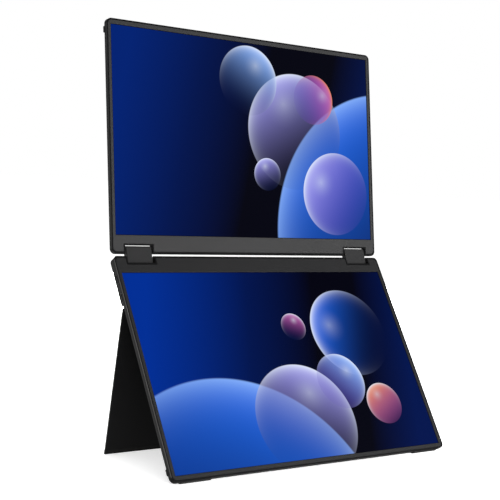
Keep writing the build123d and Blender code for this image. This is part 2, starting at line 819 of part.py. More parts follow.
# Two soft feet that wrap the lower back edge, worn flat where they stand
with BuildPart() as front_feet:
    for side in (1, -1):
        with BuildSketch(section(lower_frame, side * (side_face - foot_inset - foot_length))):
            with BuildLine():
                Polyline(
                    (outer_edge - back_radius - foot_height, foot_back),
                    (foot_edge, foot_back),
                    (foot_edge, lower_front - foot_front),
                    (outer_edge - foot_height, lower_front - foot_front),
                    (outer_edge - back_radius - foot_height, lower_back + back_radius),
                    close=True,
                )
            make_face()
        extrude(amount=side * foot_length)
    add(lower_rear_cover.part, mode=Mode.SUBTRACT)
    split(bisect_by=Plane.XY, keep=Keep.TOP)
save(front_feet, "front_feet")

# Hinge housings: a rounded block with bored axes and a gear chamber under an end cap
with BuildPart() as hinge_housings:
    with BuildSketch(section(block_frame, block_inner)):
        block_outline()
    extrude(amount=block_width - cap_thickness)
    inner_face = hinge_housings.faces().sort_by(Axis.X)[0]
    fillet(inner_face.edges(), radius=block_edge)
    with BuildSketch(section(block_frame, block_inner)):
        with Locations((0, 0), (axis_distance, 0)):
            Circle(sleeve_radius + press_gap)
    extrude(amount=sleeve_inset + sleeve_length, mode=Mode.SUBTRACT)
    with BuildSketch(section(block_frame, block_inner)):
        with Locations((0, 0), (axis_distance, 0)):
            Circle(shaft_radius + 2 * running_fit)
    extrude(amount=chamber_inner - block_inner, mode=Mode.SUBTRACT)
    with BuildSketch(section(block_frame, chamber_inner)):
        with Locations((axis_distance / 2, 0)):
            SlotCenterToCenter(axis_distance, 2 * chamber_radius)
    extrude(amount=cap_inner - chamber_inner, mode=Mode.SUBTRACT)
    with BuildSketch(section(block_frame, chamber_inner)):
        with Locations((axis_distance / 3, 0), (2 * axis_distance / 3, 0)):
            Circle(idler_pin_radius + press_gap)
    extrude(amount=-idler_pin_seat, mode=Mode.SUBTRACT)
    mirror(about=side_mirror)
save(hinge_housings, "hinge_housings")

with BuildPart() as hinge_end_caps:
    with BuildSketch(section(block_frame, cap_inner)):
        block_outline()
    extrude(amount=cap_thickness)
    outer_face = hinge_end_caps.faces().sort_by(Axis.X)[-1]
    fillet(outer_face.edges(), radius=block_edge)
    with BuildSketch(section(block_frame, cap_inner)):
        with Locations((0, 0), (axis_distance, 0)):
            Circle(journal_radius + running_fit)
        with Locations((axis_distance / 3, 0), (2 * axis_distance / 3, 0)):
            Circle(idler_pin_radius + press_gap)
    extrude(amount=journal_length + fit, mode=Mode.SUBTRACT)
    mirror(about=side_mirror)
save(hinge_end_caps, "hinge_end_caps")

with BuildPart() as friction_sleeves:
    with BuildSketch(section(block_frame, block_inner + sleeve_inset)):
        with Locations((0, 0), (axis_distance, 0)):
            Circle(sleeve_radius)
            Circle(shaft_radius + running_fit, mode=Mode.SUBTRACT)
    extrude(amount=sleeve_length)
    mirror(about=side_mirror)
save(friction_sleeves, "friction_sleeves")

with BuildPart() as idler_pins:
    with BuildSketch(section(block_frame, chamber_inner - idler_pin_seat)):
        with Locations((axis_distance / 3, 0), (2 * axis_distance / 3, 0)):
            Circle(idler_pin_radius)
    extrude(amount=cap_inner + journal_length - chamber_inner + idler_pin_seat)
    mirror(about=side_mirror)
save(idler_pins, "idler_pins")

hinge_shafts(0, 0, "lower_hinge_shafts")
idlers(axis_distance / 3, 1, "lower_idlers")
idlers(2 * axis_distance / 3, 0, "upper_idlers")
hinge_shafts(axis_distance, 1, "upper_hinge_shafts")

# Stand hinge plates, each with a lug that the flap's pin runs in
with BuildPart() as stand_hinge_brackets:
    with BuildSketch(lower_frame.offset(lower_back)):
        with Locations((knuckle_centre, stand_plate_near + stand_plate_height / 2)):
            Rectangle(stand_plate_width, stand_plate_height)
    extrude(amount=stand_plate_thickness)
    with BuildSketch(section(lower_frame, knuckle_centre - lug_width / 2)):
        with Locations((lug_axis, stand_axis_place[2])):
            Circle(stand_thickness / 2)
        with Locations((lug_axis, (stand_axis_place[2] + lower_back) / 2)):
            Rectangle(stand_thickness, lower_back - stand_axis_place[2])
    extrude(amount=lug_width)
    with BuildSketch(section(lower_frame, knuckle_centre - lug_width / 2)):
        with Locations((lug_axis, stand_axis_place[2])):
            Circle(stand_pin_radius + running_fit)
    extrude(amount=lug_width, mode=Mode.SUBTRACT)
    with Locations(lower_frame.offset(lower_back)):
        with Locations(*stand_screws):
            Cone(
                stand_screw_head + screw_gap,
                stand_screw_radius + screw_gap,
                stand_plate_thickness,
                align=(Align.CENTER, Align.CENTER, Align.MIN),
                mode=Mode.SUBTRACT,
            )
    mirror(about=side_mirror)
save(stand_hinge_brackets, "stand_hinge_brackets")

with BuildPart() as stand_bracket_screws:
    with Locations(lower_frame.offset(lower_back)):
        with Locations(*stand_screws):
            Cone(
                stand_screw_head,
                stand_screw_radius,
                stand_plate_thickness,
                align=(Align.CENTER, Align.CENTER, Align.MIN),
            )
    with BuildSketch(lower_frame.offset(lower_back + stand_plate_thickness)):
        with Locations(stand_screws):
            Circle(stand_screw_radius)
    extrude(amount=stand_screw_depth)
    mirror(about=side_mirror)
save(stand_bracket_screws, "stand_bracket_screws")

# Flap stand: a full-width plate with a thin tongue for its foot and two pairs of hinge ears
flap_near = stand_edge_gap - stand_axis_gap
flap_far = stand_length - strip_height
ear_offset = lug_width / 2 + stand_gap + ear_width / 2
ear_reach = stand_thickness + 2 * stand_gap
with BuildPart() as stand_flap:
    with BuildSketch(stand_frame.offset(-stand_thickness / 2)) as flap_plan:
        span(stand_width, flap_near, flap_far)
        fillet(flap_plan.vertices().sort_by(Axis.Y)[:2], radius=stand_corner)
    extrude(amount=stand_thickness)
    rear_face = stand_flap.faces().sort_by(Axis(stand_frame.origin, stand_frame.z_dir))[0]
    chamfer(rear_face.edges(), length=stand_bevel)
    with BuildSketch(stand_frame.offset(-tongue_thickness / 2)):
        span(stand_width - 2 * stand_corner, flap_far - tongue_depth, flap_far + tongue_depth)
    extrude(amount=tongue_thickness)
    with BuildSketch(stand_frame.offset(-stand_thickness)):
        with Locations((knuckle_centre, 0), (-knuckle_centre, 0)):
            Rectangle(2 * (ear_offset + ear_width / 2 + stand_gap), 2 * (stand_thickness + stand_gap))
    extrude(amount=2 * stand_thickness, mode=Mode.SUBTRACT)
    for centre in (knuckle_centre - ear_offset, knuckle_centre + ear_offset):
        for side in (1, -1):
            with BuildSketch(section(stand_frame, side * centre - ear_width / 2)):
                Circle(stand_thickness / 2)
                with Locations((ear_reach / 2, 0)):
                    Rectangle(ear_reach, stand_thickness)
                Circle(stand_pin_radius + press_gap, mode=Mode.SUBTRACT)
            extrude(amount=ear_width)
save(stand_flap, "stand_flap")

with BuildPart() as stand_pins:
    pin_length = 2 * (ear_offset + ear_width / 2) - 2 * stand_gap
    with BuildSketch(section(stand_frame, knuckle_centre - pin_length / 2)):
        Circle(stand_pin_radius)
    extrude(amount=pin_length)
    mirror(about=side_mirror)
save(stand_pins, "stand_pins")

with BuildPart() as stand_foot:
    with BuildSketch(stand_frame.offset(-stand_thickness / 2)):
        span(stand_width, flap_far, stand_length + stand_thickness)
    extrude(amount=stand_thickness)
    with BuildSketch(stand_frame.offset(-tongue_thickness / 2 - press_gap)):
        span(stand_width - 2 * stand_corner + fit, flap_far, flap_far + tongue_depth + fit)
    extrude(amount=tongue_thickness + 2 * press_gap, mode=Mode.SUBTRACT)
    split(bisect_by=Plane.XY, keep=Keep.TOP)
save(stand_foot, "stand_foot")

print("hinge axes", axis_distance, "apart at", tuple(lower_axis), "and", tuple(upper_axis))
print("stand axis", tuple(stand_axis), "stand length", stand_length)
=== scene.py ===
"""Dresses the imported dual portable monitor: finishes, lit screens, small fittings, light and camera."""

import json
import logging
from collections.abc import Callable, Iterator, Sequence
from contextlib import contextmanager
from dataclasses import dataclass
from enum import Enum
from functools import cached_property
from math import cos, pi, radians, sin
from typing import Union

import bpy
from mathutils import Matrix, Vector


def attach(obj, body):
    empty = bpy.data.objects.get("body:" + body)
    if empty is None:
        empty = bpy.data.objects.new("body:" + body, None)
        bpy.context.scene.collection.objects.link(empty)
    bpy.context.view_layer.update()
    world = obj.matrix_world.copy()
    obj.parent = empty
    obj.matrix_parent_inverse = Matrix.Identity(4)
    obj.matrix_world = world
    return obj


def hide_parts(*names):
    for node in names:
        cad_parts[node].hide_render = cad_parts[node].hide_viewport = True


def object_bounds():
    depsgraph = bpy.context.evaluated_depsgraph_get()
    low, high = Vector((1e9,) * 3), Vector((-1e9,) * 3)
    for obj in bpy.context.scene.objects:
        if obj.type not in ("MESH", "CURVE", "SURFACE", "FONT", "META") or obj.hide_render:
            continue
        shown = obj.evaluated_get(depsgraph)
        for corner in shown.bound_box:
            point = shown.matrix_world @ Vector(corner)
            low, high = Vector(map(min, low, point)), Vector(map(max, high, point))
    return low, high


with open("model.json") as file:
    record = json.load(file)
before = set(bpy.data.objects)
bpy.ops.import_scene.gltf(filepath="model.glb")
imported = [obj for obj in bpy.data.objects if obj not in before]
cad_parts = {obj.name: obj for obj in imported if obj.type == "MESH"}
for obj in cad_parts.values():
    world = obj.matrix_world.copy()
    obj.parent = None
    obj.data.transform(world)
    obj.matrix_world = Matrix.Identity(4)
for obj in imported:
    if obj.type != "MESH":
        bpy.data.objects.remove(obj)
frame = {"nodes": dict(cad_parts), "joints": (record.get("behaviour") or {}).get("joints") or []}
CAD_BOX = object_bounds()
LOG = logging.getLogger("dual_monitor")
MM = 0.001
ACROSS = Vector((1.0, 0.0, 0.0))

Triple = tuple[float, float, float]
Colour = Triple
Number = Union["Signal", float]


class Signal:
    """An output socket of a node tree; arithmetic on it adds Math nodes there."""

    def __init__(self, graph: "Graph", socket: bpy.types.NodeSocket) -> None:
        """Keeps the socket and the graph that it belongs to."""
        self.graph = graph
        self.socket = socket

    def _math(
        self, operation: str, first: Number, second: Number = 0.0, clamp: bool = False
    ) -> "Signal":
        """Adds one Math node.

        Args:
            operation: Blender's name of the operation.
            first: first operand.
            second: second operand.
            clamp: keeps the result between 0 and 1.

        Returns:
            The node's result.
        """
        settings = {"operation": operation, "use_clamp": clamp}
        return self.graph.node("ShaderNodeMath", settings, {0: first, 1: second})[0]

    def __add__(self, other: Number) -> "Signal":
        """Sum."""
        return self._math("ADD", self, other)

    def __radd__(self, other: Number) -> "Signal":
        """Sum with a plain number first."""
        return self._math("ADD", other, self)

    def __sub__(self, other: Number) -> "Signal":
        """Difference."""
        return self._math("SUBTRACT", self, other)

    def __rsub__(self, other: Number) -> "Signal":
        """Difference from a plain number."""
        return self._math("SUBTRACT", other, self)

    def __mul__(self, other: Number) -> "Signal":
        """Product."""
        return self._math("MULTIPLY", self, other)

    def __rmul__(self, other: Number) -> "Signal":
        """Product with a plain number first."""
        return self._math("MULTIPLY", other, self)

    def __truediv__(self, other: Number) -> "Signal":
        """Quotient."""
        return self._math("DIVIDE", self, other)

    def __rtruediv__(self, other: Number) -> "Signal":
        """A plain number divided by this."""
        return self._math("DIVIDE", other, self)

    def __pow__(self, other: Number) -> "Signal":
        """Power."""
        return self._math("POWER", self, other)

    def __lt__(self, other: Number) -> "Signal":
        """1 where this is the smaller one, else 0."""
        return self._math("LESS_THAN", self, other)

    def __abs__(self) -> "Signal":
        """Size without its sign."""
        return self._math("ABSOLUTE", self)

    def root(self) -> "Signal":
        """Square root."""
        return self._math("SQRT", self)

    def clamped(self) -> "Signal":
        """The same value, kept between 0 and 1."""
        return self._math("ADD", self, 0.0, clamp=True)


class Step:
    """A node of a graph; indexing it by name or place gives one of its outputs."""

    def __init__(self, graph: "Graph", made: bpy.types.Node) -> None:
        """Keeps the node and the graph that it belongs to."""
        self.graph = graph
        self.made = made

    def __getitem__(self, output: int | str) -> Signal:
        """One output of the node."""
        return Signal(self.graph, self.made.outputs[output])


class Graph:
    """The node tree of a material or a world, built from expressions.

    Attributes:
        MIX_INPUTS: places of the factor and the two colours among a Mix node's inputs.
        MIX_RESULT: place of the mixed colour among its outputs.
    """

    MIX_INPUTS = (0, 6, 7)
    MIX_RESULT = 2

    def __init__(self, owner: bpy.types.Material | bpy.types.World) -> None:
        """Empties the owner's tree.

        Args:
            owner: the material or world.
        """
        owner.use_nodes = True
        self.owner = owner
        self.tree = owner.node_tree
        self.tree.nodes.clear()

    def node(
        self,
        kind: str,
        settings: dict[str, object] | None = None,
        inputs: dict[int | str, object] | None = None,
    ) -> Step:
        """Adds any node.

        Args:
            kind: Blender's name of the node type.
            settings: the node's own settings; stops are a ramp's positions and colours.
            inputs: a value or a Signal for each socket, by name or place.

        Returns:
            The node, for its outputs.
        """
        made = self.tree.nodes.new(kind)
        for name, value in (settings or {}).items():
            if name == "stops":
                self._set_stops(made.color_ramp, value)
            else:
                setattr(made, name, value)
        for key, value in (inputs or {}).items():
            if isinstance(value, Signal):
                self.tree.links.new(value.socket, made.inputs[key])
            else:
                made.inputs[key].default_value = value
        return Step(self, made)

    @staticmethod
    def _set_stops(ramp: bpy.types.ColorRamp, stops: Sequence[tuple[float, Colour]]) -> None:
        """Gives a ramp its stops.

        Args:
            ramp: the ramp.
            stops: position and colour of each stop, from left to right.
        """
        while len(ramp.elements) < len(stops):
            ramp.elements.new(1.0)
        for element, (position, colour) in zip(ramp.elements, stops):
            element.position = position
            element.color = (*colour, 1.0)

    @cached_property
    def place(self) -> Signal:
        """Object coordinates of the shaded point."""
        return self.node("ShaderNodeTexCoord")["Object"]

    def mix(self, share: Number, first: Signal | Colour, second: Signal | Colour) -> Signal:
        """Blends two colours.

        Args:
            share: how much of the second colour, from 0 to 1.
            first: colour at 0.
            second: colour at 1.

        Returns:
            The blended colour.
        """
        pair = [value if isinstance(value, Signal) else (*value, 1.0) for value in (first, second)]
        inputs = dict(zip(self.MIX_INPUTS, (share, *pair)))
        return self.node("ShaderNodeMix", {"data_type": "RGBA"}, inputs)[self.MIX_RESULT]

    def noise(self, scale: float, detail: float = 2.0, stretch: Triple = (1.0, 1.0, 1.0)) -> Signal:
        """Soft noise over the object.

        Args:
            scale: features per metre.
            detail: number of finer layers.
            stretch: scale along each axis, for brushed lines.

        Returns:
            A value from 0 to 1.
        """
        place = self.node("ShaderNodeMapping", None, {"Vector": self.place, "Scale": stretch})["Vector"]
        inputs = {"Vector": place, "Scale": scale, "Detail": detail}
        return self.node("ShaderNodeTexNoise", None, inputs)[0]

    def along(self, direction: Vector, origin: Vector) -> Signal:
        """Distance of the shaded point from an origin along a direction.

        Args:
            direction: unit vector in the row frame.
            origin: point at which the distance is 0, in metres.

        Returns:
            The distance, in metres.
        """
        settings = {"operation": "DOT_PRODUCT"}
        reach = self.node("ShaderNodeVectorMath", settings, {0: self.place, 1: direction})["Value"]
        return reach - origin.dot(direction)

    def bump(self, height: Signal, strength: float, distance: float) -> Signal:
        """Normal of a surface raised by a height map."""
        inputs = {"Height": height, "Strength": strength, "Distance": distance}
        return self.node("ShaderNodeBump", None, inputs)["Normal"]

    def surface(self, inputs: dict[str, object]) -> bpy.types.Material:
        """Closes the tree with a Principled shader.

        Args:
            inputs: values and links for the shader's sockets.

        Returns:
            The finished material.
        """
        shader = self.node("ShaderNodeBsdfPrincipled", None, inputs)[0]
        self.node("ShaderNodeOutputMaterial", None, {"Surface": shader})
        return self.owner

    def seen_directly(self) -> Signal:
        """1 for the camera's rays and for what it sees in gloss or through glass, else 0."""
        path = self.node("ShaderNodeLightPath")
        return (path["Is Camera Ray"] + path["Is Glossy Ray"] + path["Is Transmission Ray"]).clamped()


def new_graph(name: str) -> Graph:
    """Graph of a new material of that name."""
    return Graph(bpy.data.materials.new(name))


def scaled(colour: Colour, factor: float) -> Colour:
    """A colour made lighter or darker."""
    return tuple(part * factor for part in colour)


class Marks(Enum):
    """Direction that brushed or turned marks run along, as the noise's stretch."""

    ACROSS = (0.04, 1.0, 1.0)
    EVEN = (1.0, 1.0, 1.0)


@dataclass(frozen=True)
class MouldedPlastic:
    """Moulded plastic with a fine matte grain and faint blotches.

    Scales are in features per metre, the grain's height in metres.
    """

    name: str
    colour: Colour
    roughness: float = 0.5
    specular: float = 0.15
    grain_scale: float = 2600.0
    grain_detail: float = 3.0
    grain_height: float = 0.00002
    grain_strength: float = 0.35
    blotch_scale: float = 45.0
    blotch_detail: float = 4.0
    blotch_depth: float = 0.18
    smudge_scale: float = 15.0
    smudge_depth: float = 0.12

    def _base(self, graph: Graph, unevenness: Signal) -> Signal:
        """Base colour, darker and lighter in places."""
        dark, light = (scaled(self.colour, 1.0 + way * self.blotch_depth) for way in (-1.0, 1.0))
        return graph.mix(unevenness, dark, light)

    def material(self) -> bpy.types.Material:
        """Makes the material.

        Returns:
            The material.
        """
        graph = new_graph(self.name)
        grain = graph.noise(self.grain_scale, self.grain_detail)
        blotch = graph.noise(self.blotch_scale, self.blotch_detail)
        smudge = graph.noise(self.smudge_scale)
        return graph.surface(
            {
                "Base Color": self._base(graph, (grain + blotch) / 2.0),
                "Roughness": self.roughness + (smudge - 0.5) * self.smudge_depth,
                "Normal": graph.bump(grain, self.grain_strength, self.grain_height),
                "Specular IOR Level": self.specular,
            }
        )


@dataclass(frozen=True)
class SoftRubber:
    """Dull rubber with a fine stipple and dusty high spots."""

    name: str
    colour: Colour
    dust: Colour = (0.02, 0.02, 0.019)
    roughness: float = 0.78
    roughness_swing: float = 0.2
    specular: float = 0.12
    stipple_scale: float = 1800.0
    stipple_height: float = 0.00005
    stipple_strength: float = 0.5
    dust_curve: float = 2.0

    def material(self) -> bpy.types.Material:
        """Makes the material.

        Returns:
            The material.
        """
        graph = new_graph(self.name)
        stipple = graph.noise(self.stipple_scale)
        return graph.surface(
            {
                "Base Color": graph.mix(stipple**self.dust_curve, self.colour, self.dust),
                "Roughness": self.roughness + (stipple - 0.5) * self.roughness_swing,
                "Normal": graph.bump(stipple, self.stipple_strength, self.stipple_height),
                "Specular IOR Level": self.specular,
            }
        )


@dataclass(frozen=True)
class WorkedMetal:
    """Bare metal with brushed, stamped or turned marks and faint stains."""

    name: str
    colour: Colour
    roughness: float = 0.34
    roughness_swing: float = 0.22
    marks: Marks = Marks.EVEN
    mark_scale: float = 900.0
    mark_detail: float = 4.0
    mark_height: float = 0.00002
    mark_strength: float = 0.25
    stain_scale: float = 120.0
    stain_detail: float = 3.0
    stain_depth: float = 0.28

    def material(self) -> bpy.types.Material:
        """Makes the material.

        Returns:
            The material.
        """
        graph = new_graph(self.name)
        marks = graph.noise(self.mark_scale, self.mark_detail, self.marks.value)
        stain = graph.noise(self.stain_scale, self.stain_detail)
        stained = scaled(self.colour, 1.0 - self.stain_depth)
        return graph.surface(
            {
                "Base Color": graph.mix(stain, stained, self.colour),
                "Metallic": 1.0,
                "Roughness": self.roughness + (marks - 0.5) * self.roughness_swing,
                "Normal": graph.bump(marks, self.mark_strength, self.mark_height),
            }
        )


@dataclass(frozen=True)
class CoatedBoard:
    """Circuit board: green coating over faint copper tracks, with bare pads."""

    name: str
    colour: Colour = (0.008, 0.07, 0.03)
    track: Colour = (0.03, 0.16, 0.05)
    pad: Colour = (0.5, 0.36, 0.12)
    track_scale: float = 260.0
    track_width: float = 0.06
    track_height: float = 0.00003
    track_strength: float = 0.4
    pad_scale: float = 330.0
    pad_reach: float = 0.16
    pad_metal: float = 0.9
    roughness: float = 0.36
    pad_polish: float = 0.08

    def material(self) -> bpy.types.Material:
        """Makes the material.

        Returns:
            The material.
        """
        graph = new_graph(self.name)
        layout = {"Vector": graph.place, "Scale": self.track_scale, "Mortar Size": self.track_width}
        tracks = graph.node("ShaderNodeTexBrick", None, layout)["Fac"]
        spots = {"Vector": graph.place, "Scale": self.pad_scale}
        cells = graph.node("ShaderNodeTexVoronoi", None, spots)
        pads = cells["Distance"] < self.pad_reach
        coated = graph.mix(tracks, self.colour, self.track)
        return graph.surface(
            {
                "Base Color": graph.mix(pads, coated, self.pad),
                "Metallic": pads * self.pad_metal,
                "Roughness": self.roughness - pads * self.pad_polish,
                "Normal": graph.bump(tracks, self.track_strength, self.track_height),
            }
        )


class Tint(Enum):
    """Colours of the screens' picture, as linear values."""

    MIDNIGHT = (0.0003, 0.0004, 0.004)
    NAVY = (0.0, 0.007, 0.075)
    ROYAL = (0.0, 0.016, 0.17)
    COBALT = (0.0, 0.028, 0.30)
    AZURE = (0.016, 0.15, 0.88)
    SKY = (0.26, 0.47, 1.0)
    LAVENDER = (0.36, 0.34, 0.90)
    ICE = (0.80, 0.87, 1.0)
    VIOLET = (0.10, 0.05, 0.46)
    ROSE = (0.55, 0.12, 0.44)
    AMBER = (0.85, 0.27, 0.09)


@dataclass(frozen=True)
class Bubble:
    """A glassy disc of the picture, shaded from one side to the other.

    Places and the radius are in millimetres from the picture's lower left corner, the angle in degrees.

    Attributes:
        deep: colour of the side away from the light.
        light: colour of the lit side.
        rim: colour of the lit edge.
        veil: how much the dark side covers what is behind it.
        gleam: strength of the soft spot of light on it.
    """

    across: float
    up: float
    radius: float
    light_angle: float
    deep: Tint
    light: Tint
    rim: Tint
    veil: float = 0.1
    gleam: float = 0.35


@dataclass(frozen=True)
class Picture:
    """A lit screen: a deep blue field crossed by glassy discs.

    Attributes:
        name: the material's name.
        corner: the picture's lower left corner, in metres.
        rise: direction up the screen.
        width: the picture's width, in metres.
        height: the picture's height, in metres.
        field: positions and colours of the background, from left to right.
        bubbles: the discs, from back to front.
        slant: how far the background's bands lean from bottom to top, as a share of the width.
        frame_line: dark line inside the picture's edge, in metres.
        edge_softness: width of a disc's soft edge, as a share of its radius.
        shade_curve: power that shapes the change from a disc's dark side to its lit side.
        rim_curve: power that keeps the rim's colour close to the edge.
        rim_fade: power that fades the rim towards the dark side.
        gleam_place: how far from a disc's middle its spot of light lies, as a share of its radius.
        gleam_reach: radius of the spot, as a share of the disc's.
        gleam_curve: power that shapes the spot.
        glass: base colour of the cover glass.
        texture_scale: features per metre of the glass's fine texture.
    """

    name: str
    corner: Vector
    rise: Vector
    width: float
    height: float
    field: tuple[tuple[float, Tint], ...]
    bubbles: tuple[Bubble, ...]
    slant: float = -0.16
    frame_line: float = 0.0004
    edge_softness: float = 0.012
    shade_curve: float = 1.6
    rim_curve: float = 10.0
    rim_fade: float = 1.3
    gleam_place: float = 0.52
    gleam_reach: float = 0.46
    gleam_curve: float = 2.0
    glass: Colour = (0.0005, 0.0005, 0.0008)
    glass_roughness: float = 0.24
    glass_texture: float = 0.05
    texture_scale: float = 3500.0
    texture_detail: float = 1.0
    specular: float = 0.004

    def _field(self, graph: Graph, across: Signal, up: Signal) -> Signal:
        """Background bands, slanting a little.

        Args:
            graph: the material's graph.
            across: distance from the left edge.
            up: distance from the lower edge.

        Returns:
            The background's colour.
        """
        lean = across / self.width + (up / self.height - 0.5) * self.slant
        stops = [(position, tint.value) for position, tint in self.field]
        return graph.node("ShaderNodeValToRGB", {"stops": stops}, {"Fac": lean.clamped()})["Color"]

    def _bubble(
        self, graph: Graph, below: Signal, across: Signal, up: Signal, bubble: Bubble
    ) -> Signal:
        """Lays one disc over the picture.

        Args:
            graph: the material's graph.
            below: the picture so far.
            across: distance from the left edge.
            up: distance from the lower edge.
            bubble: the disc.

        Returns:
            The picture with the disc on it.
        """
        radius = bubble.radius * MM
        turn = radians(bubble.light_angle)
        aside = (across - bubble.across * MM) / radius
        above = (up - bubble.up * MM) / radius
        reach = (aside * aside + above * above).root()
        inside = ((1.0 - reach) / self.edge_softness).clamped()
        lit = (0.5 + 0.5 * (aside * cos(turn) + above * sin(turn))).clamped()
        body = graph.mix(lit**self.shade_curve, bubble.deep.value, bubble.light.value)
        edge = (reach**self.rim_curve * lit**self.rim_fade).clamped()
        rimmed = graph.mix(edge, body, bubble.rim.value)
        off_side = aside - self.gleam_place * cos(turn)
        off_top = above - self.gleam_place * sin(turn)
        spread = (off_side * off_side + off_top * off_top).root() / self.gleam_reach
        gleam = (1.0 - spread).clamped() ** self.gleam_curve * bubble.gleam
        shaded = graph.mix(gleam, rimmed, Tint.ICE.value)
        cover = inside * (bubble.veil + (1.0 - bubble.veil) * lit)
        return graph.mix(cover.clamped(), below, shaded)

    def material(self) -> bpy.types.Material:
        """Makes the material.

        Returns:
            The material.
        """
        graph = new_graph(self.name)
        across = graph.along(ACROSS, self.corner)
        up = graph.along(self.rise, self.corner)
        picture = self._field(graph, across, up)
        for bubble in self.bubbles:
            picture = self._bubble(graph, picture, across, up, bubble)
        within_width = abs(across - self.width / 2) < self.width / 2 - self.frame_line
        within_height = abs(up - self.height / 2) < self.height / 2 - self.frame_line
        texture = graph.noise(self.texture_scale, self.texture_detail)
        return graph.surface(
            {
                "Base Color": (*self.glass, 1.0),
                "Roughness": self.glass_roughness + texture * self.glass_texture,
                "Specular IOR Level": self.specular,
                "Emission Color": graph.mix(within_width * within_height, Tint.MIDNIGHT.value, picture),
                "Emission Strength": 1.0,
            }
        )


@dataclass(frozen=True)
class Leaf:
    """Frame of a flat piece that turns about X: along runs away from its axis, out leaves its front."""

    origin: Vector
    away: Vector
    front: Vector

    @classmethod
    def leaning(cls, joint: str, lean: float, upwards: bool) -> "Leaf":
        """Frame of a piece on a joint's axis.

        Args:
            joint: the joint whose axis it turns about.
            lean: angle that its face leans back, in degrees.
            upwards: True where the piece stands up from its axis.

        Returns:
            The frame.
        """
        rise = Vector((0.0, sin(radians(lean)), cos(radians(lean))))
        front = Vector((0.0, -cos(radians(lean)), sin(radians(lean))))
        place = next(item["pos_m"] for item in frame["joints"] if item["name"] == joint)
        return cls(Vector(place), rise if upwards else -rise, front)

    def point(self, across: float, along: float, out: float) -> Vector:
        """A point in the row frame, from millimetres in this one; across runs along +X."""
        return self.origin + (ACROSS * across + self.away * along + self.front * out) * MM

    def stand(self, outwards: Vector, across: float, along: float, out: float) -> Matrix:
        """Place of a piece modelled upright, in millimetres, at the origin.

        Args:
            outwards: direction in the row frame that the piece's own Z turns to.
            across: place along +X.
            along: place away from the axis.
            out: place in front of the axis.

        Returns:
            The matrix that scales, turns and moves the piece there; its own X runs away from the axis.
        """
        side = outwards.cross(self.away)
        turn = Matrix((self.away, side, outwards)).transposed().to_4x4()
        return Matrix.Translation(self.point(across, along, out)) @ turn @ Matrix.Scale(MM, 4)


UPPER_LEAN = 8.1
LOWER_LEAN = 33.5
UPPER = Leaf.leaning("upper_hinge", UPPER_LEAN, upwards=True)
LOWER = Leaf.leaning("lower_hinge", LOWER_LEAN, upwards=False)


@dataclass(frozen=True)
class CoverPlastic(MouldedPlastic):
    """Plastic of a rear cover: near-black as painted shade, side walls lightened as painted light, and a
    painted highlight line along their front edge.

    Lengths are in metres.

    Attributes:
        leaf: frame of the panel that the cover belongs to.
        wall_with_painted_light: colour of the side walls, the plastic's grey lightened further as painted
            light.
        wall_from: distance of the side walls from the object's middle.
        line: colour of the line, a painted highlight where it differs from the walls' colour.
        highlight_from: distance of the painted highlight line from the object's middle.
        highlight_depth: how far in front of the hinge axis the painted highlight line begins.
        fade: width of the change from one colour to the next.
    """

    # near-black back: painted shade standing in for the shaded rims
    colour: Colour = (0.0038, 0.0038, 0.0041)
    specular: float = 0.03
    leaf: Leaf = LOWER
    # lighter side walls: painted light
    wall_with_painted_light: Colour = (0.021, 0.021, 0.0215)
    wall_from: float = 0.15492
    # front edge line: painted highlight
    line: Colour = wall_with_painted_light
    highlight_from: float = 0.15485
    highlight_depth: float = 0.0034
    fade: float = 0.00004

    def _beyond(self, reach: Signal, limit: float) -> Signal:
        """0 before a limit and 1 beyond it."""
        return ((reach - limit) / self.fade).clamped()

    def _base(self, graph: Graph, unevenness: Signal) -> Signal:
        """Base colour: the back in painted shade, the side walls in painted light and the line as a
        painted highlight.

        Args:
            graph: the material's graph.
            unevenness: share of the lighter tone, from 0 to 1.

        Returns:
            The colour.
        """
        aside = abs(graph.along(ACROSS, Vector()))
        depth = graph.along(self.leaf.front, self.leaf.origin)
        # side walls lighter as painted light, their front edge line as a painted highlight
        walls = self._beyond(aside, self.wall_from)
        edge = self._beyond(aside, self.highlight_from) * self._beyond(depth, self.highlight_depth)
        painted_shade_and_light = graph.mix(walls, super()._base(graph, unevenness), self.wall_with_painted_light)
        return graph.mix(edge, painted_shade_and_light, self.line)


def dress(material: bpy.types.Material, *nodes: str) -> None:
    """Gives CAD nodes a material.

    Args:
        material: the finish.
        nodes: names of the nodes.
    """
    for name in nodes:
        slots = frame["nodes"][name].data.materials
        slots.clear()
        slots.append(material)
        LOG.info("dressed %s with %s", name, material.name)


